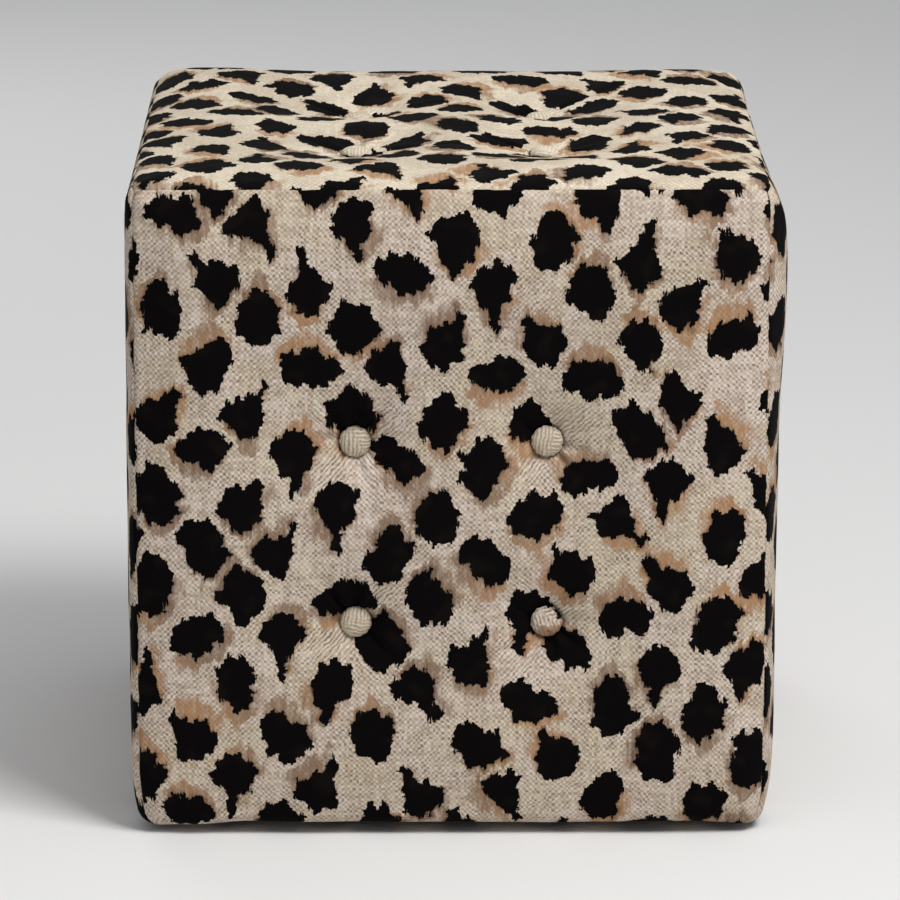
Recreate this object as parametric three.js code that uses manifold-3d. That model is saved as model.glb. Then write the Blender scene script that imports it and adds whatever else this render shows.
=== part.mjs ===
// Tufted cube ottoman: a boarded frame padded with foam and covered in five sewn panels.
// Millimetres, +Z up, front towards -Y, origin on the floor under the middle.
import * as THREE from 'three';
import { mergeVertices } from 'three/addons/utils/BufferGeometryUtils.js';
import Module from 'manifold-3d';

const wasm = await Module();
wasm.setup();

// Stuffed block: overall sizes, and how its faces swell between the seams
const blockWidth = 432;
const blockDepth = 432;
const blockHeight = 448;
const stuffedEdgeRadius = 25;
const turnUnderRadius = 10;
const sideCrown = 2;
const seatCrown = 3;

// Cover and stuffing
const coverThickness = 1.6;
const sideFoamThickness = 25;
const seatFoamThickness = 77;
const flangeLap = 6.5;

// Tufts: a square grid of four on each face, pulled in towards a flat seat for each button
const tuftPitchAcross = 127;
const tuftPitchUp = 123.5;
const sideTuftDrop = 18;
const tuftDepth = 14;
const tuftReach = 50;

// Covered buttons, with the twine and anchor washer that pull each one in
const buttonRadius = 10.5;
const buttonRise = 6.5;
const buttonRimHeight = 1.8;
const buttonBackRadius = 9.2;
const buttonSeatMargin = 2;
const twineRadius = 1;
const twineClearance = 0.8;
const boardHoleRadius = 3;
const washerRadius = 7;
const washerThickness = 2;

// Wooden frame
const boardThickness = 6;
const deckThickness = 12;
const postSide = 30;
const railThickness = 20;
const bottomRailHeight = 45;
const topRailHeight = 40;
const cornerBlockLeg = 72;
const cornerBlockThickness = 22;
const cornerBlockLift = 12;

// Underside
const glideRadius = 11;
const glideThickness = 5;
const glideEdgeRadius = 1.4;
const glideCollarRadius = 4;
const nailRadius = 1.3;
const nailClearance = 0.3;
const nailDepth = 16;
const nailPointLength = 4;
const dustCoverThickness = 0.6;
const dustCoverInset = 34;
const hemWidth = 12;
const hemStep = 0.25;
const dustCoverHoleClearance = 0.5;

// Clearances, and the overrun of every cutter
const seamGap = 0.3;
const fitGap = 0.3;
const cutOverrun = 3;

// Counts, and shares of the size that each follows
const holeSides = 8;
const buttonSides = 12;
const domeSteps = 3;
const innerLineShare = 0.57;
const outerLineShare = 0.66;
const leanShares = [0, 0.5, 1];
const turnShares = [1, 0.5];
const quarterTurn = Math.PI / 2;

// Levels from the floor up
const dustCoverBottom = glideThickness + fitGap;
const coverBottom = dustCoverBottom + dustCoverThickness + fitGap;
const frameBottom = coverBottom + coverThickness + fitGap;
const topFaceHeight = blockHeight - seatCrown;
const foamOffset = coverThickness + fitGap;
const slabBottom = topFaceHeight - foamOffset - seatFoamThickness;
const deckBottom = slabBottom - fitGap - deckThickness;
const boardTop = deckBottom - fitGap;

// Distances from the middle out to a face of the block, and in from there layer by layer
const seamShift = seamGap / Math.SQRT2;
const faceOf = (overall) => overall / 2 - sideCrown;
const coreOf = (face) => face - stuffedEdgeRadius - seamShift;
const foamBackOf = (face) => face - foamOffset - sideFoamThickness;
const boardOuterOf = (face) => foamBackOf(face) - fitGap;
const boardInnerOf = (face) => boardOuterOf(face) - boardThickness;
const postOuterOf = (face) => boardInnerOf(face) - fitGap;
const postInnerOf = (face) => postOuterOf(face) - postSide;
const railInnerOf = (face) => postOuterOf(face) - railThickness;

const faceAcross = faceOf(blockWidth);
const faceDeep = faceOf(blockDepth);
const coreTop = coreOf(topFaceHeight);
const sideTuftMiddle = (coverBottom + topFaceHeight) / 2 - sideTuftDrop;
const buttonSeatHalf = buttonRadius + buttonSeatMargin;

const matte = (color, roughness) => new THREE.MeshStandardMaterial({ color, roughness, metalness: 0 });
const coverMaterial = () => matte(0xb9ab9b, 0.92);
const foamMaterial = () => matte(0xe9dfb8, 0.95);
const plywoodMaterial = () => matte(0xc9a878, 0.7);
const pineMaterial = () => matte(0xd8b987, 0.75);
const dustClothMaterial = () => matte(0x1b1b1d, 0.95);
const glideMaterial = () => matte(0x2c2b2a, 0.5);

const tuffet = new THREE.Group();

function addMesh(parent, name, geometry, material) {
  const mesh = new THREE.Mesh(geometry, material);
  mesh.name = name;
  parent.add(mesh);
  return mesh;
}

// Joins loose triangles into one closed body, without those that shrink to a line
function closedGeometry(corners) {
  const loose = new THREE.BufferGeometry().setFromPoints(corners);
  const merged = mergeVertices(loose);
  const index = merged.getIndex().array;
  const kept = [];
  for (let i = 0; i < index.length; i += 3) {
    const [a, b, c] = [index[i], index[i + 1], index[i + 2]];
    if (a !== b && b !== c && c !== a) kept.push(a, b, c);
  }
  merged.setIndex(kept);
  merged.computeVertexNormals();
  return merged;
}

function toSolid(geometry) {
  const bare = geometry.clone();
  bare.deleteAttribute('normal');
  bare.deleteAttribute('uv');
  const merged = mergeVertices(bare);
  const vertProperties = new Float32Array(merged.getAttribute('position').array);
  const triVerts = new Uint32Array(merged.getIndex().array);
  return new wasm.Manifold(new wasm.Mesh({ numProp: 3, vertProperties, triVerts }));
}

function fromSolid(solid) {
  const mesh = solid.getMesh();
  const geometry = new THREE.BufferGeometry();
  geometry.setAttribute('position', new THREE.BufferAttribute(mesh.vertProperties, mesh.numProp));
  geometry.setIndex(new THREE.BufferAttribute(mesh.triVerts, 1));
  geometry.computeVertexNormals();
  return geometry;
}

function cutAway(geometry, cutters) {
  return fromSolid(cutters.reduce((body, cutter) => body.subtract(toSolid(cutter)), toSolid(geometry)));
}

// A round cutter along Z, from one level to another
function pinCutter(radius, place, from, to) {
  const cutter = new THREE.CylinderGeometry(radius, radius, to - from, holeSides);
  cutter.rotateX(quarterTurn);
  cutter.translate(place.x, place.y, (from + to) / 2);
  return cutter;
}

// Panels. A panel's own frame has X along it, Y up it and Z out of it. A line of its grid lies at a
// place on the flat core, and past the core leans over by 0 to 1, where 1 is the seam.
function mirroredLines(half) {
  const far = half.slice().reverse().map((line) => ({ at: -line.at, lean: -line.lean }));
  return [...far, { at: 0, lean: 0 }, ...half];
}

function tuftLines(pitch) {
  const inner = pitch / 2 - buttonSeatHalf;
  const outer = pitch / 2 + buttonSeatHalf;
  const places = [inner * innerLineShare, inner, outer, outer + tuftReach * outerLineShare];
  return places.map((at) => ({ at, lean: 0 }));
}

const edgeLines = (core) => leanShares.map((lean) => ({ at: core, lean }));

function tuftPull(panel, x, y) {
  const pulls = panel.tufts.map((tuft) => {
    const past = Math.max(Math.abs(x - tuft.x), Math.abs(y - tuft.y)) - buttonSeatHalf;
    return (1 - THREE.MathUtils.clamp(past / tuftReach, 0, 1)) ** 2;
  });
  return Math.max(...pulls);
}

function bulge(panel, x, y) {
  const acrossSwell = 1 - (x / panel.coreAcross) ** 2;
  const upSwell = Math.max(0, 1 - ((y - panel.middle) / panel.swellHalf) ** 2);
  const pull = tuftPull(panel, x, y);
  return panel.crown * acrossSwell * upSwell * (1 - pull) - tuftDepth * pull;
}

function stuffedPoint(panel, column, row, offset) {
  const lean = new THREE.Vector3(column.lean, row.lean, 1).setLength(stuffedEdgeRadius - offset);
  const swell = bulge(panel, column.at, row.at);
  return new THREE.Vector3(column.at + lean.x, row.at + lean.y, panel.base + lean.z + swell);
}

// Below the stuffed face the panel turns under the bottom edge: row.turn goes from 0 to a quarter
function turnedUnderPoint(panel, column, row, offset) {
  const bend = turnUnderRadius - offset;
  const reach = stuffedEdgeRadius - turnUnderRadius + bend * Math.cos(row.turn);
  const lean = new THREE.Vector2(column.lean, 1).setLength(reach);
  const level = coverBottom + turnUnderRadius - bend * Math.sin(row.turn);
  return new THREE.Vector3(column.at + lean.x, level, panel.base + lean.y);
}

// The flange laps under the posts. Its fastened edge is straight, and mitred under each corner.
function flangePoint(panel, column, offset) {
  const under = turnedUnderPoint(panel, column, { turn: quarterTurn }, offset);
  const seamReach = (stuffedEdgeRadius - turnUnderRadius) / Math.SQRT2;
  const flangeEdge = postOuterOf(panel.base + stuffedEdgeRadius) - flangeLap;
  const narrowing = (panel.coreAcross + flangeEdge - panel.base) / (panel.coreAcross + seamReach);
  return new THREE.Vector3(under.x * narrowing, under.y, flangeEdge);
}

function panelPoint(panel, column, row, offset) {
  if (row.flange) return flangePoint(panel, column, offset);
  if (row.turn !== undefined) return turnedUnderPoint(panel, column, row, offset);
  return stuffedPoint(panel, column, row, offset);
}

function surfaceOf(panel, rows, offset) {
  return rows.map((row) => panel.columns.map((column) => panelPoint(panel, column, row, offset)));
}

function quad(corners, a, b, c, d) {
  corners.push(a, b, c, a, c, d);
}

// Each square of the grid folds along the diagonal that runs to its nearest tuft
function foldsUpward(panel, column, nextColumn, row, nextRow) {
  const x = (column.at + nextColumn.at) / 2;
  const y = (row.at + nextRow.at) / 2;
  const away = (tuft) => (x - tuft.x) ** 2 + (y - tuft.y) ** 2;
  const nearest = panel.tufts.reduce((best, tuft) => (away(tuft) < away(best) ? tuft : best));
  return (x - nearest.x) * (y - nearest.y) > 0;
}

function addSurface(corners, panel, rows, offset, facingOut) {
  const grid = surfaceOf(panel, rows, offset);
  for (let j = 0; j + 1 < rows.length; j += 1) {
    for (let i = 0; i + 1 < panel.columns.length; i += 1) {
      const square = [grid[j][i], grid[j][i + 1], grid[j + 1][i + 1], grid[j + 1][i]];
      const upward = foldsUpward(panel, panel.columns[i], panel.columns[i + 1], rows[j], rows[j + 1]);
      const [a, b, c, d] = upward ? square : [...square.slice(1), square[0]];
      if (facingOut) quad(corners, a, b, c, d);
      else quad(corners, a, d, c, b);
    }
  }
  return grid;
}

// The rim of a grid, counter-clockwise as seen from outside the block
function rimOf(grid) {
  const last = grid.length - 1;
  const lastColumn = grid[0].length - 1;
  const bottom = grid[0].slice(0, lastColumn);
  const right = grid.slice(0, last).map((row) => row[lastColumn]);
  const top = grid[last].slice(1).reverse();
  const left = grid.slice(1).map((row) => row[0]).reverse();
  return [...bottom, ...right, ...top, ...left];
}

function addWall(corners, upper, lower) {
  for (let i = 0; i < upper.length; i += 1) {
    const next = (i + 1) % upper.length;
    quad(corners, upper[i], lower[i], lower[next], upper[next]);
  }
}

function addFlatBack(corners, loop, middle) {
  for (let i = 0; i < loop.length; i += 1) corners.push(loop[(i + 1) % loop.length], loop[i], middle);
}

// A cover panel: one cloth thickness, following the stuffed form, with a hole for each twine
function coverGeometry(panel) {
  const corners = [];
  const outside = addSurface(corners, panel, panel.coverRows, 0, true);
  const inside = addSurface(corners, panel, panel.coverRows, coverThickness, false);
  addWall(corners, rimOf(outside), rimOf(inside));
  const seatLevel = panel.base + stuffedEdgeRadius - tuftDepth;
  const holes = panel.tufts.map((tuft) => pinCutter(
    twineRadius + twineClearance, tuft, seatLevel - coverThickness - cutOverrun, seatLevel + cutOverrun));
  return cutAway(closedGeometry(corners), holes);
}

// A foam pad: the cover's form one cloth in, down to each loop in turn, and closed by a flat back
function foamGeometry(panel, loopLimits) {
  const corners = [];
  const outside = addSurface(corners, panel, panel.foamRows, foamOffset, true);
  let upper = rimOf(outside);
  loopLimits.forEach((limit) => {
    const lower = upper.map((point) => new THREE.Vector3(
      THREE.MathUtils.clamp(point.x, -limit.across, limit.across),
      THREE.MathUtils.clamp(point.y, limit.low, limit.high),
      limit.level));
    addWall(corners, upper, lower);
    upper = lower;
  });
  const back = loopLimits[loopLimits.length - 1];
  addFlatBack(corners, upper, new THREE.Vector3(0, (back.low + back.high) / 2, back.level));
  const front = panel.base + stuffedEdgeRadius;
  const holes = panel.tufts.map((tuft) => pinCutter(
    twineRadius + twineClearance, tuft, back.level - cutOverrun, front));
  return cutAway(closedGeometry(corners), holes);
}

// A covered button, its twine and its anchor washer, turned round the twine. The button's back is
// at zero, and the washer lies at the given depth behind it.
function buttonGeometry(washerDepth) {
  const domeRise = buttonRise - buttonRimHeight;
  const outline = [
    new THREE.Vector2(0, -washerDepth - washerThickness),
    new THREE.Vector2(washerRadius, -washerDepth - washerThickness),
    new THREE.Vector2(washerRadius, -washerDepth),
    new THREE.Vector2(twineRadius, -washerDepth),
    new THREE.Vector2(twineRadius, 0),
    new THREE.Vector2(buttonBackRadius, 0),
  ];
  for (let step = 0; step < domeSteps; step += 1) {
    const angle = quarterTurn * (step / domeSteps);
    outline.push(new THREE.Vector2(
      buttonRadius * Math.cos(angle), buttonRimHeight + domeRise * Math.sin(angle)));
  }
  outline.push(new THREE.Vector2(0, buttonRise));
  return new THREE.LatheGeometry(outline, buttonSides);
}

function addButtons(parent, panel, name, boardBack) {
  const backLevel = panel.base + stuffedEdgeRadius - tuftDepth + fitGap;
  const washerDepth = backLevel - boardBack + fitGap;
  panel.tufts.forEach((tuft) => {
    const buttonName = `button_${name}_${tuft.name}`;
    const button = addMesh(parent, buttonName, buttonGeometry(washerDepth), coverMaterial());
    button.rotation.x = quarterTurn;
    button.position.set(tuft.x, tuft.y, backLevel);
  });
}

function tuftGrid(middle, pitchUp, lowName, highName) {
  const places = [];
  for (const [rowName, up] of [[lowName, -1], [highName, 1]]) {
    for (const [columnName, across] of [['left', -1], ['right', 1]]) {
      places.push({
        name: `${rowName}_${columnName}`, x: across * tuftPitchAcross / 2, y: middle + up * pitchUp / 2 });
    }
  }
  return places;
}

// A sheet of plywood, cut to size and drilled for the twines, lying with its back at zero
function drilledBoard(halfAcross, low, high, thickness, tufts) {
  const outline = new THREE.Shape([
    new THREE.Vector2(-halfAcross, low),
    new THREE.Vector2(halfAcross, low),
    new THREE.Vector2(halfAcross, high),
    new THREE.Vector2(-halfAcross, high),
  ]);
  tufts.forEach((tuft) => {
    const hole = new THREE.Path();
    hole.absarc(tuft.x, tuft.y, boardHoleRadius, 0, quarterTurn * 4, true);
    outline.holes.push(hole);
  });
  const cut = { depth: thickness, bevelEnabled: false, curveSegments: holeSides / 2 };
  return new THREE.ExtrudeGeometry(outline, cut);
}

function addRail(parent, name, halfLength, height, low, outer) {
  const wood = new THREE.BoxGeometry(2 * halfLength, height, railThickness);
  const rail = addMesh(parent, name, wood, pineMaterial());
  rail.position.set(0, low + height / 2, outer - railThickness / 2);
}

// One side of the block. Front and back boards run the full width, and the others fit between them.
function sidePanel(facingAcross, facingOut) {
  const straightBottom = coverBottom + turnUnderRadius;
  const core = coreOf(facingAcross);
  const rowLines = mirroredLines(tuftLines(tuftPitchUp));
  const turnedRows = turnShares.map((share) => ({ at: straightBottom, turn: quarterTurn * share }));
  const straightRows = rowLines.map((line) => ({ at: sideTuftMiddle + line.at, lean: 0 }));
  const foamRows = [...turnedRows, { at: straightBottom, lean: 0 }, ...straightRows, ...edgeLines(coreTop)];
  return {
    coreAcross: core,
    base: coreOf(facingOut) + seamShift,
    columns: mirroredLines([...tuftLines(tuftPitchAcross), ...edgeLines(core)]),
    foamRows,
    coverRows: [{ at: straightBottom, flange: true }, ...foamRows],
    crown: sideCrown,
    middle: (straightBottom + coreTop) / 2,
    swellHalf: (coreTop - straightBottom) / 2,
    tufts: tuftGrid(sideTuftMiddle, tuftPitchUp, 'lower', 'upper'),
  };
}

function addSide(name, turn, facingAcross, facingOut, boardHalf) {
  const panel = sidePanel(facingAcross, facingOut);
  const side = new THREE.Group();
  side.rotation.z = turn;
  tuffet.add(side);
  const upright = new THREE.Group();
  upright.rotation.x = quarterTurn;
  side.add(upright);
  const foamBack = foamBackOf(facingOut);
  const backFromCore = foamBack - panel.base;
  const foamLimit = {
    across: panel.coreAcross + backFromCore,
    low: frameBottom,
    high: coreTop + backFromCore,
    level: foamBack,
  };
  addMesh(upright, `cover_${name}`, coverGeometry(panel), coverMaterial());
  addMesh(upright, `foam_${name}`, foamGeometry(panel, [foamLimit]), foamMaterial());
  const board = addMesh(
    upright, `side_board_${name}`,
    drilledBoard(boardHalf, frameBottom, boardTop, boardThickness, panel.tufts), plywoodMaterial());
  board.position.z = boardInnerOf(facingOut);
  const railHalf = postInnerOf(facingAcross) - fitGap;
  const railOuter = postOuterOf(facingOut);
  addRail(upright, `bottom_rail_${name}`, railHalf, bottomRailHeight, frameBottom, railOuter);
  addRail(upright, `top_rail_${name}`, railHalf, topRailHeight, boardTop - topRailHeight, railOuter);
  addButtons(upright, panel, name, boardInnerOf(facingOut));
}

function addSides() {
  const fullBoard = boardOuterOf(faceAcross);
  const fittedBoard = boardInnerOf(faceDeep) - fitGap;
  addSide('front', 0, faceAcross, faceDeep, fullBoard);
  addSide('right', quarterTurn, faceDeep, faceAcross, fittedBoard);
  addSide('back', 2 * quarterTurn, faceAcross, faceDeep, fullBoard);
  addSide('left', 3 * quarterTurn, faceDeep, faceAcross, fittedBoard);
}

// The seat: deck, slab of foam with its edge chamfered under the seams, and the top cover
function addSeat() {
  const coreAcross = coreOf(faceAcross);
  const coreDeep = coreOf(faceDeep);
  const lines = tuftLines(tuftPitchAcross);
  const rows = mirroredLines([...lines, ...edgeLines(coreDeep)]);
  const panel = {
    coreAcross,
    base: coreTop + seamShift,
    columns: mirroredLines([...lines, ...edgeLines(coreAcross)]),
    foamRows: rows,
    coverRows: rows,
    crown: seatCrown,
    middle: 0,
    swellHalf: coreDeep,
    tufts: tuftGrid(0, tuftPitchAcross, 'front', 'back'),
  };
  const slabAcross = foamBackOf(faceAcross) - fitGap;
  const slabDeep = foamBackOf(faceDeep) - fitGap;
  const slab = { across: slabAcross, low: -slabDeep, high: slabDeep };
  const chamferLevel = panel.base + slabAcross - coreAcross;
  const slabLimits = [{ ...slab, level: chamferLevel }, { ...slab, level: slabBottom }];
  addMesh(tuffet, 'cover_top', coverGeometry(panel), coverMaterial());
  addMesh(tuffet, 'foam_seat', foamGeometry(panel, slabLimits), foamMaterial());
  const deckHalfDeep = boardOuterOf(faceDeep);
  const deck = addMesh(
    tuffet, 'seat_deck',
    drilledBoard(boardOuterOf(faceAcross), -deckHalfDeep, deckHalfDeep, deckThickness, panel.tufts),
    plywoodMaterial());
  deck.position.z = deckBottom;
  addButtons(tuffet, panel, 'top', deckBottom);
}

// A post stands in each corner, drilled from below for its glide's nail
function postGeometry(length) {
  const post = new THREE.BoxGeometry(postSide, postSide, length);
  post.translate(0, 0, length / 2);
  const bore = pinCutter(
    nailRadius + nailClearance, new THREE.Vector3(), -cutOverrun, nailDepth + cutOverrun);
  return cutAway(post, [bore]);
}

// A corner block is glued across two rails, and notched round the post
function cornerBlockGeometry() {
  const notch = postSide - railThickness + fitGap;
  const outline = new THREE.Shape([
    new THREE.Vector2(notch, 0),
    new THREE.Vector2(cornerBlockLeg, 0),
    new THREE.Vector2(0, cornerBlockLeg),
    new THREE.Vector2(0, notch),
    new THREE.Vector2(notch, notch),
  ]);
  return new THREE.ExtrudeGeometry(outline, { depth: cornerBlockThickness, bevelEnabled: false });
}

// A nail-on glide: a slightly domed disc with its top rounded over, a collar and a pointed nail
function glideGeometry() {
  const collarTop = frameBottom - fitGap;
  const nailTop = frameBottom + nailDepth;
  const outline = [
    new THREE.Vector2(0, 0),
    new THREE.Vector2(glideRadius - glideEdgeRadius, 0),
    new THREE.Vector2(glideRadius, glideEdgeRadius),
    new THREE.Vector2(glideRadius, glideThickness - glideEdgeRadius),
    new THREE.Vector2(glideRadius - glideEdgeRadius, glideThickness),
    new THREE.Vector2(glideCollarRadius, glideThickness),
    new THREE.Vector2(glideCollarRadius, collarTop),
    new THREE.Vector2(nailRadius, collarTop),
    new THREE.Vector2(nailRadius, nailTop - nailPointLength),
    new THREE.Vector2(0, nailTop),
  ];
  const glide = new THREE.LatheGeometry(outline, buttonSides);
  glide.rotateX(quarterTurn);
  return glide;
}

const cornerList = [
  { name: 'front_right', across: 1, deep: -1, turn: quarterTurn },
  { name: 'back_right', across: 1, deep: 1, turn: 2 * quarterTurn },
  { name: 'back_left', across: -1, deep: 1, turn: 3 * quarterTurn },
  { name: 'front_left', across: -1, deep: -1, turn: 0 },
];

const postCentreOf = (face) => postOuterOf(face) - postSide / 2;

function addCorners() {
  cornerList.forEach((corner) => {
    const postX = corner.across * postCentreOf(faceAcross);
    const postY = corner.deep * postCentreOf(faceDeep);
    const post = addMesh(
      tuffet, `corner_post_${corner.name}`, postGeometry(boardTop - frameBottom), pineMaterial());
    post.position.set(postX, postY, frameBottom);
    const block = addMesh(tuffet, `corner_block_${corner.name}`, cornerBlockGeometry(), pineMaterial());
    block.rotation.z = corner.turn;
    block.position.set(
      corner.across * (railInnerOf(faceAcross) - fitGap), corner.deep * (railInnerOf(faceDeep) - fitGap),
      frameBottom + cornerBlockLift);
    const glide = addMesh(tuffet, `glide_${corner.name}`, glideGeometry(), glideMaterial());
    glide.position.set(postX, postY, 0);
  });
}

// Black cloth over the open bottom, with a doubled hem and a hole round each glide's collar
function addDustCover() {
  const halfAcross = faceAcross - dustCoverInset;
  const halfDeep = faceDeep - dustCoverInset;
  const cloth = new THREE.BoxGeometry(2 * halfAcross, 2 * halfDeep, dustCoverThickness);
  cloth.translate(0, 0, dustCoverThickness / 2);
  const field = new THREE.BoxGeometry(2 * (halfAcross - hemWidth), 2 * (halfDeep - hemWidth), cutOverrun);
  field.translate(0, 0, dustCoverThickness - hemStep + cutOverrun / 2);
  const holes = cornerList.map((corner) => pinCutter(
    glideCollarRadius + dustCoverHoleClearance,
    new THREE.Vector3(corner.across * postCentreOf(faceAcross), corner.deep * postCentreOf(faceDeep), 0),
    -cutOverrun, dustCoverThickness + cutOverrun));
  const cover = addMesh(tuffet, 'dust_cover', cutAway(cloth, [field, ...holes]), dustClothMaterial());
  cover.position.z = dustCoverBottom;
}

addSides();
addSeat();
addCorners();
addDustCover();

export default tuffet;
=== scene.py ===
import bpy
import bmesh
import math
import numpy as np
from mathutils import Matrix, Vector


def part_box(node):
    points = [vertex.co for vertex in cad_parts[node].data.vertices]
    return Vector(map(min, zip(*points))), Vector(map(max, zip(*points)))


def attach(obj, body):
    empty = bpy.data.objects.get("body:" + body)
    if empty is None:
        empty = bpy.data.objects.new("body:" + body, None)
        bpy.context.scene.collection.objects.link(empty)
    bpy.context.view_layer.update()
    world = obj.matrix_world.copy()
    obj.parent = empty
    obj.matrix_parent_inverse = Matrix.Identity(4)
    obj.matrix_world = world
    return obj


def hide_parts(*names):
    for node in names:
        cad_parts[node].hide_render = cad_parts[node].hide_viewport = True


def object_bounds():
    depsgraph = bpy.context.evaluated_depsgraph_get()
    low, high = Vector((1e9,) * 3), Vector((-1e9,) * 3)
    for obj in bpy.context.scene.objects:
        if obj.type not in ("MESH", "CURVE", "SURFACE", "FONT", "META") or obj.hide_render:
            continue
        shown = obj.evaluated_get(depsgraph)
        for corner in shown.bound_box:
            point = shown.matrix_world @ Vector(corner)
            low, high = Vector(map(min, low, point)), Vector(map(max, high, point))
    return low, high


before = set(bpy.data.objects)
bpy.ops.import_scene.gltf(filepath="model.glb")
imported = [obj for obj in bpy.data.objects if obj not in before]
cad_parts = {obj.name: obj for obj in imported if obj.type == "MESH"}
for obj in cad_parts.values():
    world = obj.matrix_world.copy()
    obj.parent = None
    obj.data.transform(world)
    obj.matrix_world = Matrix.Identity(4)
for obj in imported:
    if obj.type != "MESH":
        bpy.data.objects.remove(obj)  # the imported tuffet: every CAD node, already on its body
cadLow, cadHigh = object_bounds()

from types import SimpleNamespace

print("frame loaded:", len(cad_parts), "nodes")

# Everything is in metres. The front looks towards -Y, and the floor is at zero.
quarter = math.pi / 2
sides = ["front", "right", "back", "left"]
tuftNames = {name: ["lower_left", "lower_right", "upper_left", "upper_right"] for name in sides}
tuftNames["top"] = ["front_left", "front_right", "back_left", "back_right"]
scene = bpy.context.scene


def maths(operation, swapped=False):
    def method(wire, other=0.0):
        first, second = (other, wire) if swapped else (wire, other)
        return wire.nodes.add("ShaderNodeMath", {0: first, 1: second}, {"operation": operation})
    return method


# A Wire is one output socket, and sums on wires add Math nodes to their tree
class Wire:
    __add__, __radd__ = maths("ADD"), maths("ADD", swapped=True)
    __sub__, __rsub__ = maths("SUBTRACT"), maths("SUBTRACT", swapped=True)
    __mul__, __truediv__, __abs__ = maths("MULTIPLY"), maths("DIVIDE"), maths("ABSOLUTE")
    __lt__, __gt__ = maths("LESS_THAN"), maths("GREATER_THAN")
    floor, fraction = maths("FLOOR"), maths("FRACT")
    sine, cosine = maths("SINE"), maths("COSINE")
    least, most = maths("MINIMUM"), maths("MAXIMUM")

    def __init__(self, nodes, socket):
        self.nodes = nodes
        self.socket = socket

    def __getitem__(self, name):
        return Wire(self.nodes, self.socket.node.outputs[name])

    def __neg__(self):
        return self * -1.0

    def step(self, low, high):  # 0 below low, 1 above high, smooth between
        return self.nodes.add(
            "ShaderNodeMapRange", {"Value": self, "From Min": low, "From Max": high},
            {"interpolation_type": "SMOOTHSTEP"})


# Nodes is a tree and the one method that adds a node to it
class Nodes:
    def __init__(self, tree):
        self.tree = tree

    def add(self, kind, sockets=None, settings=None):
        node = self.tree.nodes.new(kind)
        for key, value in (settings or {}).items():
            if key == "curve":
                points = node.mapping.curves[0].points
                while len(points) < len(value):
                    points.new(0.5, 0.5)
                for point, place in zip(points, value):
                    point.location = place
                node.mapping.update()
            else:
                setattr(node, key, value)
        for key, value in (sockets or {}).items():
            if isinstance(value, Wire):
                self.tree.links.new(value.socket, node.inputs[key])
            else:
                node.inputs[key].default_value = value
        return Wire(self, node.outputs[0]) if node.outputs else node

    def vector(self, x, y, z=0.0):
        return self.add("ShaderNodeCombineXYZ", {0: x, 1: y, 2: z})


class Paint(Nodes):
    def __init__(self, name):
        self.material = bpy.data.materials.new(name)
        self.material.use_nodes = True
        super().__init__(self.material.node_tree)
        self.tree.nodes.clear()

    def mix(self, share, first, second):  # two wires or screen colours
        shades = [color(shade) if isinstance(shade, str) else shade for shade in (first, second)]
        return self.add("ShaderNodeMix", {0: share, 6: shades[0], 7: shades[1]}, {"data_type": "RGBA"})[2]

    def noise(self, place, scale=1, detail=0, roughness=0.5):  # place: a wire or its parts
        flat = False
        if isinstance(place, tuple):
            flat, place = len(place) == 2, self.vector(*place)
        return self.add(
            "ShaderNodeTexNoise",
            {"Vector": place, "Scale": scale, "Detail": detail, "Roughness": roughness},
            {"noise_dimensions": "2D" if flat else "3D"})

    def split(self, place):
        parts = self.add("ShaderNodeSeparateXYZ", {0: place})
        return [parts[axis] for axis in "XYZ"]

    def object(self):  # places in metres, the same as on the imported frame
        return self.add("ShaderNodeTexCoord")["Object"]

    def finish(self, shade, roughness, relief=None, specular=0.5, metallic=0.0):
        sockets = {"Base Color": shade, "Roughness": roughness, "Metallic": metallic}
        sockets["Specular IOR Level"] = specular
        if relief:
            names = ("Height", "Distance", "Strength")
            sockets["Normal"] = self.add("ShaderNodeBump", dict(zip(names, relief)))
        shader = self.add("ShaderNodeBsdfPrincipled", sockets)
        self.add("ShaderNodeOutputMaterial", {"Surface": shader})
        return self.material


def color(code):  # a screen colour such as cdbea9, as linear light
    parts = [int(code[i:i + 2], 16) / 255 for i in (0, 2, 4)]
    linear = [p / 12.92 if p <= 0.04045 else ((p + 0.055) / 1.055) ** 2.4 for p in parts]
    return (*linear, 1.0)


def turned(x, y, cosine, sine):  # x and y along axes that are turned to the left
    return x * cosine + y * sine, y * cosine - x * sine


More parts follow.
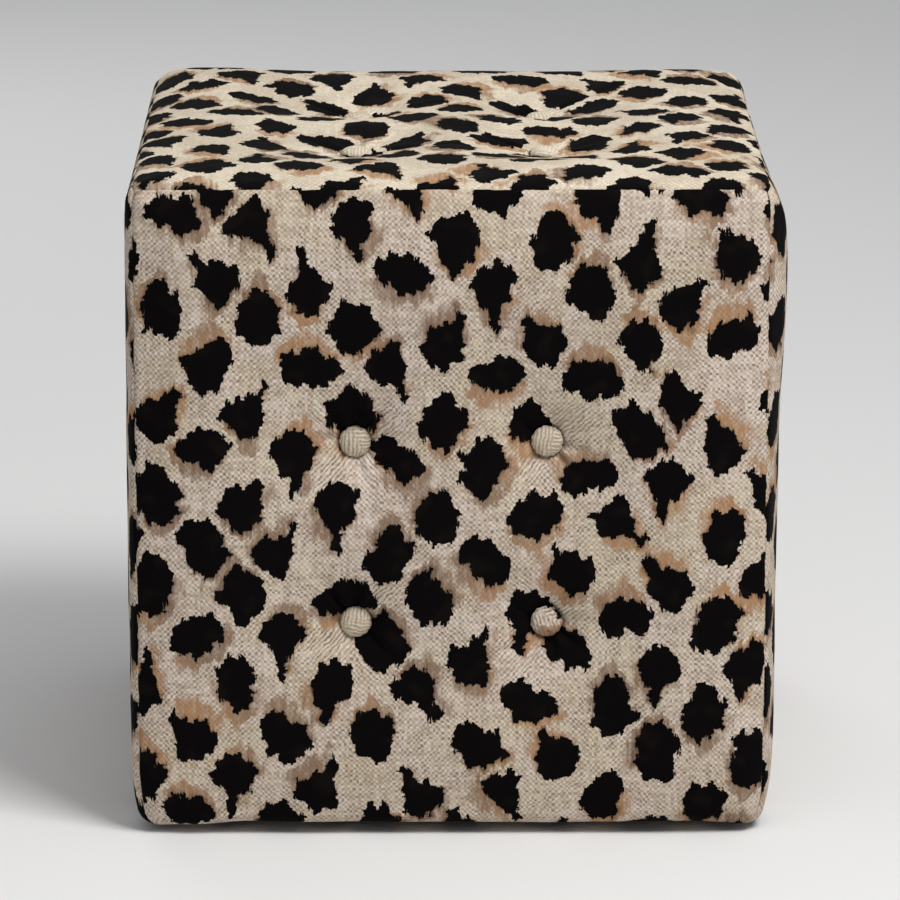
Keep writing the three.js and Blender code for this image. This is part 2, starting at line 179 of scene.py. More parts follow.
# Printed cloth: a coarse plain weave with spots in black pile, each with a tan smudge on one side
cloth = {
    "thread": 0.0019,  # from the middle of one thread to the next
    "wander": 0.0021,  # how far threads stray from straight
    "holeDepth": 0.72,  # how dark the gaps between threads are
    "humpShine": 0.42,  # how pale the raised threads are
    "rubbedFrom": 0.398,  # the cloth gets smoother from wear between these heights
    "rubbedTo": 0.436,
    "spotPitch": 0.0443,  # from one spot to the next
    "spotTurn": 0.72,  # turns the grid of spots, in radians
    "spotScatter": 0.27,
    "spotGap": 0.0031,  # kept free where two spots meet
    "halfWidth": 0.0135,
    "halfLength": 0.0195,
    "growth": 0.0026,  # how much larger the largest spots are
    "stemShare": 0.45,  # how many of the spots have a stem
    "squareFrom": 0.63,  # the random number past which a spot has square shoulders
    "lyingFrom": 0.8,  # and past which it lies on its side
    "bend": 12.0,  # how strongly spots are bent, either way
    "leaning": 1.3,  # how far spots lean either way, in radians all told
    "stem": 0.0145,
    "stemShift": 0.004,  # how far a spot is moved back to make room for its stem
    "lumps": 0.0095,
    "tear": 0.0098,  # how unevenly the ends of a spot run along the warp
    "sideTear": 0.004,
    "fringe": 0.0005,  # how far the threads' middles reach past their sides
    "smudgeShift": 0.0108,
    "seatSmudgeShift": 0.0162,
    "smudgeGrowth": 0.0016,
    "brushing": 0.006,  # how streaky a smudge's edge is
    "sootReach": 0.0026,  # how far the black runs thinly into a smudge
    "bumpDepth": 0.00022,
    "buttonBumpDepth": 0.00035,
    "ground": "c7b7a9",
    "groundWarm": "c0b199",
    # the buttons' ground: the sides' ground painted darker as shade in the buttons' recesses
    "buttonGround": "b5a68d",
    # the seat's ground: the sides' ground painted paler and warmer as light falling on the top
    "seatGround": "d2c5ad",
    "groundShade": "97836f",
    "hump": "e9e1d7",
    "hole": "57432f",
    "pile": "050303",
    "wornPile": "0e0908",
    "tan": "a07956",
    "taupe": "826955",
    "soot": "4a382b",
}

spotShapes = [  # with a stem, rounded and square: a spot's width from one end to the other, as a share
    [(0, 0), (0.03, 0.4), (0.11, 0.76), (0.23, 0.98), (0.34, 1), (0.46, 0.86), (0.56, 0.6),
     (0.64, 0.37), (0.71, 0.27), (0.82, 0.24), (0.95, 0.24), (1, 0)],
    [(0, 0), (0.04, 0.4), (0.15, 0.76), (0.33, 0.98), (0.5, 1), (0.7, 0.88), (0.86, 0.62), (0.95, 0.38),
     (1, 0)],
    [(0, 0), (0.02, 0.55), (0.1, 0.86), (0.3, 0.95), (0.6, 1), (0.8, 0.9), (0.93, 0.62), (1, 0)],
]


def spotEdge(paint, dx, dy, seed, grow, lumps):
    # How far a point lies outside one spot. dx and dy lead from its middle, and seed is its random colour.
    kind, turn, size = paint.split(seed)
    hasStem = kind < cloth["stemShare"]
    lying = kind > cloth["lyingFrom"]
    flipped = (turn * 17.3).fraction() > 0.5
    lean = ((turn * 5.1).fraction() - 0.5) * (cloth["leaning"] + hasStem * 0.2)
    angle = lean + flipped * math.pi + lying * 1.45
    across, along = turned(dx, dy, angle.cosine(), angle.sine())
    along = along + hasStem * cloth["stemShift"]
    across = across + along * along * (((size * 7.3).fraction() - 0.5) * cloth["bend"])
    grown = size * cloth["growth"] + grow
    halfWidth = cloth["halfWidth"] + grown - lying * 0.0022
    low = cloth["halfLength"] + grown - hasStem * 0.0035
    high = low + hasStem * cloth["stem"]
    place = (along + low) / (low + high)
    stemmed, rounded, square = (
        paint.add("ShaderNodeFloatCurve", {"Value": place}, {"curve": shape}) for shape in spotShapes)
    squared = (1 - lying) * (kind > cloth["squareFrom"])
    outline = stemmed * hasStem + (rounded * (1 - squared) + square * squared) * (1 - hasStem)
    beyond = (along - high).most(-low - along).most(-1)
    return (abs(across) - outline * (halfWidth + lumps)).most(beyond)


def spots(paint, u, v, column, row, shift):
    # How far a point of the cloth lies outside the black, and outside the smudge
    torn = paint.noise((column * 0.37, v * 40)) - 0.5
    torn = torn + (paint.noise((column * 1.4, v * 70)) - 0.5) * 0.3
    stepped = paint.noise((u * 42, row * 0.58)) - 0.5
    warpV = v + torn * cloth["tear"]
    warpU = u + stepped * cloth["sideTear"]
    lumps = (paint.noise((warpU, warpV), 95) - 0.5) * cloth["lumps"]
    turnCos, turnSin = math.cos(cloth["spotTurn"]), math.sin(cloth["spotTurn"])
    pitch = cloth["spotPitch"]
    grid = paint.vector(*(place / pitch for place in turned(warpU, warpV, turnCos, turnSin)))
    sockets = {"Vector": grid, "Scale": 1, "Randomness": cloth["spotScatter"]}
    cell, border = (
        paint.add("ShaderNodeTexVoronoi", sockets, {"voronoi_dimensions": "2D", "feature": feature})
        for feature in ("F1", "DISTANCE_TO_EDGE"))
    offX, offY, _ = paint.split(paint.add(
        "ShaderNodeVectorMath", {0: grid, 1: cell["Position"]}, {"operation": "SUBTRACT"}))
    dx, dy = (place * pitch for place in turned(offX, offY, turnCos, -turnSin))
    seed = cell["Color"]
    _, turn, size = paint.split(seed)
    black = spotEdge(paint, dx, dy, seed, 0, lumps)
    black = black.most(cloth["spotGap"] - border * pitch)
    fringe = (u / cloth["thread"] + 0.5).fraction() * 2 - 1
    black = black + fringe * fringe * cloth["fringe"]
    above = (turn * 29).fraction() > 0.6
    toward = ((turn * 53).fraction() - 0.5) * 2 - quarter + above * math.pi
    reach = ((size * 11).fraction() * 0.5 + 0.75) * shift
    dx, dy = dx - toward.cosine() * reach * 0.7, dy - toward.sine() * reach
    return black, spotEdge(paint, dx, dy, seed, cloth["smudgeGrowth"], lumps)


def weave(paint, u, v):
    # From -1 on a thread's hump to 1 in a gap, and the pull, which makes one slant show more
    turn = math.pi / cloth["thread"]
    pull = paint.add("ShaderNodeAttribute", None, {"attribute_name": "pull"})["Fac"]
    share = paint.noise((u, v), 22).step(0.3, 0.7) * 0.14 + 0.43 + pull * 0.46
    share = share.most(0.06).least(0.94)
    return ((u + v) * turn).cosine() * share + ((u - v) * turn).cosine() * (1 - share), abs(pull)


def clothPaint(name, ground, spotted=True, openness=1.0, edgeWear=0.0, smudging="smudgeShift"):
    paint = Paint(name)
    u, v, _ = paint.split(paint.add("ShaderNodeUVMap", None, {"uv_map": "cloth"}))
    wanderU, wanderV, _ = paint.split(paint.noise((u, v), 75, 2, roughness=0.95)["Color"])
    threadU = u + (wanderU - 0.5) * cloth["wander"] * 2
    threadV = v + (wanderV - 0.5) * cloth["wander"] * 2
    checks, pulled = weave(paint, threadU, threadV)
    column, row = ((place / cloth["thread"] + 0.5).floor() for place in (threadU, threadV))
    knot = paint.add(
        "ShaderNodeTexWhiteNoise", {"Vector": paint.vector(column, row)}, {"noise_dimensions": "2D"})
    looseness = paint.noise((u, v), 40, 1).step(0.3, 0.7)
    slub = paint.noise((threadU * 45, row * 3.7))
    slub = slub + paint.noise((column * 3.1, v * 45))
    uneven = knot + paint.noise((u, v), 210, 1) - 1
    _, _, level = paint.split(paint.object())
    rubbed = level.step(cloth["rubbedFrom"], cloth["rubbedTo"]) * edgeWear
    gap = (0.44 + looseness * 0.36 + pulled * 0.05) * openness * (1 - rubbed)
    hole = (checks + uneven * 1.1).step(0.05, 1.15) * gap
    hump = (checks - uneven * 0.9).step(0.2, -0.9)
    faded = paint.noise((u, v), 13, 4, roughness=0.8).step(0.38, 0.62)
    dyed = paint.mix(faded, cloth[ground], cloth["groundWarm"])
    body = paint.mix(slub.step(0.7, 1.25) * 0.6 * openness, dyed, cloth["groundShade"])
    lit = paint.mix(hump * (cloth["humpShine"] - rubbed * 0.2), body, cloth["hump"])
    woven = paint.mix(hole * cloth["holeDepth"], lit, cloth["hole"])
    height = hump * 0.35 - hole
    if not spotted:
        return paint.finish(woven, 0.92, (height, cloth["buttonBumpDepth"], 0.8), specular=0.12)
    black, smudge = spots(paint, threadU, threadV, column, row, cloth[smudging])
    brush = paint.noise((u * 560, v * 120)) - 0.5
    smudged = (smudge + brush * cloth["brushing"]).step(0.003, -0.0056)
    patchy = paint.noise((u * 300, v * 90), 1, 1).step(0.3, 0.62)
    hue = paint.noise((u, v), 9).step(0.38, 0.62)
    smudgeColor = paint.mix(hue, cloth["taupe"], cloth["tan"])
    tinted = paint.mix(smudged * (0.66 + patchy * 0.28), woven, smudgeColor)
    sooty = smudged * (black + brush * cloth["brushing"] * 0.5).step(cloth["sootReach"], 0)
    tinted = paint.mix(sooty * 0.5, tinted, cloth["soot"])
    inside = black.step(0.0003, -0.0003)
    worn = paint.noise((u, v), 60, 1).step(0.55, 0.8)
    pile = paint.mix(worn, cloth["pile"], cloth["wornPile"])
    surface = paint.mix(inside, tinted, pile)
    fuzz = paint.noise((u, v), 1500, 1)
    height = height * (1 - inside) + (0.9 + fuzz * 0.5) * inside
    return paint.finish(surface, 0.95, (height, cloth["bumpDepth"], 0.7), specular=0.08)


# The stuffed block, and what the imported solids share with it
block = {
    "edgeRadius": 0.016,  # the stuffed edges, up to the seams
    "turnUnder": 0.009,  # the bend round the bottom edge
    "sideCrown": 0.002,
    "topCrown": 0.003,
    "sideTuft": (0.014, 0.052, 2.2, 0.26),  # depth, reach, fall, and the share close round the button
    "topTuft": (0.0105, 0.085, 1.3, 0.1),
    "seatRadius": 0.011,  # the groove that a button sits in
    "hugReach": 0.0022,
    "coverThickness": 0.0016,
    "fine": 0.0021,  # spacing of the finished cloth's grid
    "finest": 0.0008,  # and beside the buttons
    "finestReach": 0.016,
    "coarse": 0.0045,  # spacing of the simulated cloth's grid
    "pressure": 4.0,
    "frames": 20,
    "mostMoved": 0.0055,
    "waves": [(0.075, 0.0009), (0.03, 0.0004)],  # soft unevenness: size and height
    "seamDip": 0.0012,
    "topSeamDip": 0.0003,
    "seamWidth": 0.0017,
    "creaseDepth": 0.0024,
    "creaseWidth": 0.0023,
    "creaseReach": 0.042,
    "ridgeWidth": 0.0011,  # the sharper ridges along the diagonals
    "ridgeShare": 0.45,  # their height, as a share of the creases' depth
    "pucker": 0.0003,  # the small uneven pull of the stitches beside a seam
    "pullReach": 0.03,  # how far from a button its pulled threads show
    "droop": 0.0035,  # how far the folded bottom corners hang down
    "droopReach": 0.03,
    "tuckIn": 0.0055,  # how far those corners are drawn in
    "looseHeight": 0.045,  # how high up the loose bottom edge reaches
    "looseWaves": 0.0011,
    "looseDrawn": 0.0009,
}
panels = {  # where each was cut from the cloth, how far it gives, and puffs: place, reach and height
    "front": {"cut": (0.31, 0.52), "seed": 40, "give": 1.0, "puffs": []},
    "right": {"cut": (1.43, 0.27), "seed": 50, "give": 0.9, "puffs": [(-0.15, 0.375, 0.085, 0.0055)]},
    "back": {"cut": (2.17, 0.88), "seed": 60, "give": 0.9, "puffs": []},
    "left": {"cut": (3.05, 0.19), "seed": 70, "give": 0.45, "puffs": []},
    "top": {"cut": (0.64, 1.71), "seed": 80, "give": 0.6,
            "puffs": [(0.0, 0.12, 0.13, 0.004), (-0.17, 0.17, 0.06, 0.005), (0.16, 0.16, 0.06, 0.003)]},
}


def corners(name):
    return [Vector(corner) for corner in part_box(name)]


def newMesh(name, points, faces):
    mesh = bpy.data.meshes.new(name)
    mesh.from_pydata(points.reshape(-1, 3).tolist(), [], faces)
    return mesh


def panelFacts(name):
    # One panel's values and its sizes in its own frame: x along it, y up it and z out of it
    radius, isTop = block["edgeRadius"], name == "top"
    buttons, upward = ("button_top_", 1) if isTop else ("button_front_", 2)
    middles = [sum(corners(buttons + tuft), Vector()) / 2 for tuft in tuftNames[name]]
    facts = SimpleNamespace(isTop=isTop, tufts=[(spot.x, spot[upward]) for spot in middles], **panels[name])
    frontLow, frontHigh = corners("cover_front")
    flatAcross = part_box("cover_right")[1][0] - block["sideCrown"]
    flatDeep = -frontLow.y - block["sideCrown"]
    top = cadHigh.z - block["topCrown"] - radius
    if isTop:
        facts.coreX, facts.coreTop, facts.base = flatAcross - radius, flatDeep - radius, top
        facts.low, facts.crown, facts.back = -facts.coreTop, block["topCrown"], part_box("foam_seat")[0][2]
        return facts
    facing, along = (flatDeep, flatAcross) if name in ("front", "back") else (flatAcross, flatDeep)
    facts.coreX, facts.coreTop, facts.base = along - radius, top, facing - radius
    facts.low, facts.crown, facts.bottom = frontLow.z + block["turnUnder"], block["sideCrown"], frontLow.z
    facts.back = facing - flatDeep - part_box("foam_front")[1][1]
    facts.flangeEdge = facing - flatDeep - frontHigh.y
    return facts


def unit(values):
    return np.clip(values, 0, 1)


def wavy(x, y, size, seed):
    # Values from -1 to 1 that vary smoothly over the given size
    table = np.random.default_rng(seed).uniform(-1, 1, (97, 97))
    cells = [np.floor(place / size + 500).astype(int) for place in (x, y)]
    parts = [place / size + 500 - cell for place, cell in zip((x, y), cells)]
    easeX, easeY = (part * part * (3 - 2 * part) for part in parts)
    left, right = cells[0] % 97, (cells[0] + 1) % 97
    lower, upper = (
        table[row, left] * (1 - easeX) + table[row, right] * easeX
        for row in (cells[1] % 97, (cells[1] + 1) % 97))
    return lower * (1 - easeY) + upper * easeY


def fromTufts(facts, x, y):
    # The way to each place from one button after the other, and its length
    for tuftX, tuftY in facts.tufts:
        yield x - tuftX, y - tuftY, np.hypot(x - tuftX, y - tuftY)


def stuffed(facts, x, y):
    # The stuffed form. x and y run along the cloth, and past the core they lean over to the seams.
    radius, coreX, coreTop = block["edgeRadius"], facts.coreX, facts.coreTop
    atX, atY = np.clip(x, -coreX, coreX), np.clip(y, facts.low, coreTop)
    leanX = np.tan((x - atX) / radius)
    leanY = np.tan((y - atY) / radius)
    length = np.sqrt(leanX ** 2 + leanY ** 2 + 1)
    pull = np.zeros_like(atX)
    depth, reach, fall, hug = block["topTuft" if facts.isTop else "sideTuft"]
    for _, _, away in fromTufts(facts, atX, atY):
        past = np.maximum(away - block["seatRadius"], 0)
        wide = (1 - unit(past / reach)) ** fall
        pull = np.maximum(pull, wide * (1 - hug) + np.exp(-past / block["hugReach"]) * hug)
    middle, half = (facts.low + coreTop) / 2, (coreTop - facts.low) / 2
    swell = facts.crown * (1 - (atX / coreX) ** 2) * unit(1 - ((atY - middle) / half) ** 2)
    swell = swell * (1 - pull) - depth * pull
    return np.stack([
        atX + radius * leanX / length, atY + radius * leanY / length,
        facts.base + radius / length + swell], -1)


def gridFaces(rows, columns, around=False):
    index = np.arange(rows * columns).reshape(rows, columns)
    if around:
        index = np.concatenate([index, index[:, :1]], 1)
    squares = [index[:-1, :-1], index[:-1, 1:], index[1:, 1:], index[1:, :-1]]
    return np.stack(squares, -1).reshape(-1, 4).tolist()


def simulateCover(facts, x, y):
    # Lets the sewn cover push out between its seams and buttons, and returns how far it moved
    start = stuffed(facts, x, y)
    start[..., 2] += np.random.default_rng(facts.seed).normal(0, 0.00002, x.shape)
    mesh = newMesh("draft", start, gridFaces(*x.shape))
    draft = addObject("draft", mesh)
    held = np.zeros(x.shape, bool)
    held[[0, -1]] = True
    held[:, [0, -1]] = True
    for _, _, away in fromTufts(facts, x, y):
        held |= away < block["seatRadius"] * 0.85
    draft.vertex_groups.new(name="held").add(np.flatnonzero(held).tolist(), 1.0, "REPLACE")
    modifier = draft.modifiers.new("stuffing", "CLOTH")
    settings = modifier.settings
    settings.quality = 5
    settings.vertex_group_mass = "held"
    settings.use_pressure = True
    settings.uniform_pressure_force = block["pressure"]
    settings.effector_weights.gravity = 0.0
    settings.bending_stiffness = 0.2
    modifier.point_cache.frame_end = block["frames"] + 1
    for step in range(1, block["frames"] + 1):
        scene.frame_set(step)
    evaluated = draft.evaluated_get(bpy.context.evaluated_depsgraph_get())
    moved = np.empty(start.size)
    evaluated.data.vertices.foreach_get("co", moved)
    moved = moved.reshape(start.shape) - start
    scene.frame_set(1)
    bpy.data.objects.remove(draft)
    bpy.data.meshes.remove(mesh)
    length = np.linalg.norm(moved, axis=-1, keepdims=True)
    return moved * np.minimum(1, block["mostMoved"] / np.maximum(length, 1e-9))


def readWeights(fine, coarse):
    # Weights that read values on a coarse line at fine places, smoothly
    weights = np.zeros((len(fine), len(coarse)))
    place = np.clip((fine - coarse[0]) / (coarse[1] - coarse[0]), 0, len(coarse) - 1.000001)
    cell = np.floor(place).astype(int)
    t = place - cell
    parts = [
        -0.5 * t + t ** 2 - 0.5 * t ** 3, 1 - 2.5 * t ** 2 + 1.5 * t ** 3,
        0.5 * t + 2 * t ** 2 - 1.5 * t ** 3, -0.5 * t ** 2 + 0.5 * t ** 3]
    for shift, part in zip((-1, 0, 1, 2), parts):
        np.add.at(weights, (np.arange(len(fine)), np.clip(cell + shift, 0, len(coarse) - 1)), part)
    return weights


def creases(facts, x, y, seed):
    # Narrow folds that run out from each button towards its neighbours and corners
    rng = np.random.default_rng(seed)
    depth = np.zeros_like(x)
    for dx, dy, away in fromTufts(facts, x, y):
        for corner in range(8):
            turn = corner * math.pi / 4 + rng.uniform(-0.22, 0.22)
            reach = block["creaseReach"] * rng.uniform(0.6, 1.25) * (1.0 if corner % 2 else 0.6)
            width = block["creaseWidth"] * rng.uniform(0.8, 1.3)
            strength = rng.uniform(0.5, 1.2)
            along, across = turned(dx, dy, math.cos(turn), math.sin(turn))
            across = across + wavy(x, y, 0.03, seed + corner) * 0.0012
            spread = width * (0.6 + np.clip(along / reach, 0, 2))
            beside = np.exp(-((np.abs(across) - 2 * spread) / spread) ** 2)
            fold = np.exp(-(across / spread) ** 2) - block["ridgeShare"] * beside
            fade = unit(1 - (away - block["seatRadius"]) / reach) ** 1.2 * (along > 0)
            fade = fade * unit((away - block["seatRadius"] * 0.8) / 0.004)
            depth += strength * fold * fade
            if corner % 2:
                for way in (1, -1):
                    ridge = np.exp(-((across / block["ridgeWidth"] - way) ** 2))
                    depth += way * block["ridgeShare"] * ridge * fade
    return depth * block["creaseDepth"]


def closerLine(start, end, tufts):
    # Places along one side of the grid, which lie closer beside the tufts
    place = np.linspace(start, end, 4001)
    near = sum(np.exp(-(((place - tuft) / block["finestReach"]) ** 4)) for tuft in set(np.round(tufts, 5)))
    density = 1 / block["fine"] + (1 / block["finest"] - 1 / block["fine"]) * near
    total = np.concatenate([[0], np.cumsum((density[1:] + density[:-1]) / 2 * np.diff(place))])
    return np.interp(np.linspace(0, total[-1], int(round(total[-1])) + 1), total, place)


def pulledThreads(facts, x, y):
    # How far threads are pulled towards a button: above 0 along one slant, and below 0 along the other
    pull = np.zeros_like(x)
    for dx, dy, away in fromTufts(facts, x, y):
        slant = -2 * dx * dy / np.maximum(away, 1e-6) ** 2
        near = unit(1 - (away - block["seatRadius"]) / block["pullReach"])
        pull += slant * near ** 0.8
    return np.clip(pull, -1, 1)


def coverSurface(facts):
    # The outside of one panel down to its straight end, on a fine grid
    reach = block["edgeRadius"] * math.pi / 4
    endX, endY = facts.coreX + reach, facts.coreTop + reach
    lowY = -endY if facts.isTop else facts.low
    lineX = closerLine(-endX, endX, [tuft[0] for tuft in facts.tufts])
    lineY = closerLine(lowY, endY, [tuft[1] for tuft in facts.tufts])
    x, y = np.meshgrid(lineX, lineY)
    points = stuffed(facts, x, y)
    counts = [int(round(length / block["coarse"])) + 1 for length in (2 * endX, endY - lowY)]
    roughX, roughY = np.linspace(-endX, endX, counts[0]), np.linspace(lowY, endY, counts[1])
    moved = simulateCover(facts, *np.meshgrid(roughX, roughY)) * facts.give
    points += np.einsum("ij,jkc,lk->ilc", readWeights(lineY, roughY), moved, readWeights(lineX, roughX))
    edgeX, edgeY = endX - np.abs(x), endY - (np.abs(y) if facts.isTop else y)
    edge = np.minimum(edgeX, edgeY)
    inner = unit(edge / 0.03)
    for index, (size, height) in enumerate(block["waves"]):
        points[..., 2] += wavy(x, y, size, facts.seed + 1 + index) * height * inner
    for puffX, puffY, reach, height in facts.puffs:
        near = np.exp(-(((x - puffX) ** 2 + (y - puffY) ** 2) / reach ** 2))
        points[..., 2] += height * near * unit(edge / 0.02)
    points[..., 2] -= creases(facts, x, y, facts.seed + 11)
    pucker = wavy(x, y, 0.006, facts.seed + 3) * block["pucker"] * np.exp(-edge / 0.007)
    seams = [(edgeX, block["topSeamDip" if facts.isTop else "seamDip"]), (edgeY, block["topSeamDip"])]
    dips = [depth * np.exp(-((away / block["seamWidth"]) ** 1.4)) for away, depth in seams]
    dip = np.maximum(*dips) - pucker
    normal = np.cross(np.gradient(points, axis=1), np.gradient(points, axis=0))
    normal /= np.linalg.norm(normal, axis=-1, keepdims=True)
    return lineX, lineY, points - normal * dip[..., None]


def underTurn(facts, x):
    # The rows below a side's straight part: the flat flange under the edge, then the bend up to the side
    radius, bend = block["edgeRadius"], block["turnUnder"]
    atX = np.clip(x, -facts.coreX, facts.coreX)
    lean = np.tan((x - atX) / radius)
    length = np.sqrt(lean ** 2 + 1)
    reach = radius - bend
    outX, outZ = atX + reach * lean / length, facts.base + reach / length
    narrow = facts.coreX + facts.flangeEdge - facts.base
    narrow /= facts.coreX + reach / math.sqrt(2)
    rows, along = [], []
    for share in np.linspace(1, 0, 13)[:-1]:  # 1 is the fastened edge, and 0 the start of the bend
        rows.append(np.stack([
            outX * (1 + (narrow - 1) * share), np.full_like(x, facts.bottom),
            outZ + (facts.flangeEdge - outZ) * share], -1))
        along.append(facts.low - bend * quarter - (facts.base + reach - facts.flangeEdge) * share)
    for turn in np.linspace(quarter, 0, 9)[:-1]:
        out = reach + bend * math.cos(turn)
        height = np.full_like(x, facts.bottom + bend - bend * math.sin(turn))
        rows.append(np.stack([atX + out * lean / length, height, facts.base + out / length], -1))
        along.append(facts.low - bend * turn)
    rows = np.array(rows)
    dip = block["seamDip"] * np.exp(-(((x[-1] - np.abs(x)) / block["seamWidth"]) ** 1.4))
    rows[..., 0] -= np.sign(x) * dip * 0.7
    rows[..., 2] -= dip * 0.7
    return rows, np.array(along)


def loosenBottom(facts, points):
    # The folded bottom corners hang lower and are drawn in, and the edge between them is a little uneven
    x, y, z = points[..., 0], points[..., 1], points[..., 2]
    toSeam = block["edgeRadius"] * 0.7
    away = np.hypot(facts.coreX + toSeam - np.abs(x), facts.base + toSeam - z)
    near = np.exp(-((away / block["droopReach"]) ** 2))
    low = unit(1 - (y - facts.bottom) / block["looseHeight"]) ** 1.5
    low = low * unit((z - facts.base + 0.008) / 0.012)  # the flange stays flat
    tuck = unit(1 - (y - facts.bottom) / 0.04) ** 2 * near * block["tuckIn"]
    uneven = wavy(x, z * 0, 0.034, facts.seed + 5) * block["looseWaves"] * low * unit(away / 0.05)
    drawn = (1 + wavy(x, z * 0, 0.03, facts.seed + 6)) * block["looseDrawn"]
    drawn = drawn * low * unit((z - facts.base) / 0.01)
    points[..., 0] -= np.sign(x) * tuck
    points[..., 1] += uneven + 0.0008 * low - block["droop"] * near * low
    points[..., 2] -= drawn + tuck
    return points


def backEdges(facts, points, lineY):
    # Where the left, right, upper and lower edges of the cover end on the flat back of the stuffing
    rows, columns = points.shape[:2]
    back = facts.back
    if facts.isTop:
        (_, lowY, _), (half, highY, _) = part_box("seat_deck")
        y, z, x = np.clip(points[:, 0, 1], lowY, highY), np.full(rows, back), np.full(rows, half)
        bottomY, bottomZ, limit = lowY, back, half
    else:
        bottomY = facts.bottom + block["coverThickness"]
        highY = facts.coreTop + back - facts.base
        under = lineY < facts.low - block["turnUnder"] * quarter - 0.0001
        z = np.where(under, np.minimum(points[:, 0, 2], back), back)
        y = np.where(under, bottomY, np.clip(points[:, 0, 1], bottomY, highY))
        x = facts.coreX + z - facts.base
        bottomZ, limit = z[0], x[-1]
    right = np.stack([x, y, z], -1)
    left = right * [-1, 1, 1]
    upper, lower = (
        np.stack([np.clip(line[:, 0], -most, most), np.full(columns, atY), np.full(columns, atZ)], -1)[1:-1]
        for line, most, atY, atZ in ((points[-1], limit, highY, back), (points[0], x[0], bottomY, bottomZ)))
    return left, right, upper, lower


def buildCover(name, paint):
    # One closed stuffed panel: the cloth outside, and a flat back on the frame
    facts = panelFacts(name)
    lineX, lineY, points = coverSurface(facts)
    if not facts.isTop:
        lowerRows, lowerLines = underTurn(facts, lineX)
        points, lineY = np.concatenate([lowerRows, points]), np.concatenate([lowerLines, lineY])
        points = loosenBottom(facts, points)
    rows, columns = points.shape[:2]
    edges = backEdges(facts, points, lineY)
    local = np.concatenate([points.reshape(-1, 3), *edges])
    grid = np.arange(rows * columns).reshape(rows, columns)
    starts = rows * columns + np.cumsum([0, rows, rows, columns - 2])
    left, right = np.arange(rows) + starts[0], np.arange(rows) + starts[1]
    upper = np.array([left[-1], *range(starts[2], starts[3]), right[-1]])
    lower = np.array([left[0], *range(starts[3], starts[3] + columns - 2), right[0]])
    faces = gridFaces(rows, columns)
    borders = [
        (grid[::-1, 0], left[::-1]), (grid[:, -1], right), (grid[-1, ::-1], upper[::-1]), (grid[0], lower)]
    for outer, inner in borders:
        faces += np.stack([outer[:-1], inner[:-1], inner[1:], outer[1:]], -1).tolist()
    faces += np.stack([left[1:-2], left[2:-1], right[2:-1], right[1:-2]], -1).tolist()
    faces.append([*upper.tolist(), int(right[-2]), int(left[-2])])
    faces.append([*lower[::-1].tolist(), int(left[1]), int(right[1])])
    mesh = newMesh(name + "Cover", onBlock(name, local), faces)
    flat = np.stack([np.tile(lineX, rows), np.repeat(lineY, columns)], -1)
    flat = np.concatenate([flat, local[rows * columns:, :2]])
    layCloth(mesh, flat + facts.cut, pulledThreads(facts, *flat.T))
    cleanUp(mesh)
    return addPiece(name + "Cover", mesh, [paint])


def layCloth(mesh, cut, pulled):
    # Gives each point its place on the flat cloth, and the pull on its threads
    loops = np.empty(len(mesh.loops), int)
    mesh.loops.foreach_get("vertex_index", loops)
    mesh.uv_layers.new(name="cloth").data.foreach_set("uv", cut[loops].ravel())
    mesh.attributes.new("pull", "FLOAT", "POINT").data.foreach_set("value", pulled.astype(np.float32))


def cleanUp(mesh):
    closed = bmesh.new()
    closed.from_mesh(mesh)
    bmesh.ops.remove_doubles(closed, verts=closed.verts, dist=0.0000005)
    bmesh.ops.recalc_face_normals(closed, faces=closed.faces)
    closed.to_mesh(mesh)
    closed.free()
    mesh.shade_smooth()


def addObject(name, data):
    added = bpy.data.objects.new(name, data)
    scene.collection.objects.link(added)
    return added


def addPiece(name, mesh, paints):
    for paint in paints:
        mesh.materials.append(paint)
    return addObject(name, mesh)


def onBlock(name, local):
    # Takes points in a panel's frame to the block, turning every side but the front
    if name == "top":
        return local
    x, y, z = local[:, 0], -local[:, 2], local[:, 1]
    for _ in range(sides.index(name)):
        x, y = -y, x
    return np.stack([x, y, z], -1)


printedCloth = clothPaint("printedCloth", "ground", edgeWear=0.4)
# the seat is worn smoother than the sides, and its ground is painted paler and warmer as light falling on it
# from above
seatCloth = clothPaint("seatCloth", "seatGround", openness=0.3, smudging="seatSmudgeShift")
# the side buttons' cloth, its ground painted darker as shade
plainCloth = clothPaint("plainCloth", "buttonGround", spotted=False, openness=0.6)
# the seat's buttons take the seat's ground, painted paler and warmer as light from above
plainSeatCloth = clothPaint("plainSeatCloth", "seatGround", spotted=False, openness=0.35)
for name in tuftNames:
    cover = buildCover(name, seatCloth if name == "top" else printedCloth)
    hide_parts("cover_" + name, "foam_" + ("seat" if name == "top" else name))
    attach(cover, "root")
    print("cover", name, len(cover.data.polygons), "faces")


# Covered buttons, each one turned piece with its twine and the washer that holds it
button = {
    "radius": 0.0105,
    "rise": 0.0065,
    "rimHeight": 0.0018,
    "backRadius": 0.0092,
    "twineRadius": 0.001,
    "washerRadius": 0.007,
    "washerThickness": 0.002,
    "around": 64,
    "domeRings": 14,
    "firstSeed": 300,
    "gather": 0.00022,  # depth of the small folds where the cloth goes round the rim
    "cuts": {  # buttons cut across a spot, and where from
        "front_lower_right": (0.655, 0.718),
        "top_front_right": (1.212, 0.456),
        "right_upper_left": (2.034, 0.318),
        "back_lower_left": (0.871, 1.034),
        "left_upper_right": (1.54, 0.902),
    },
}


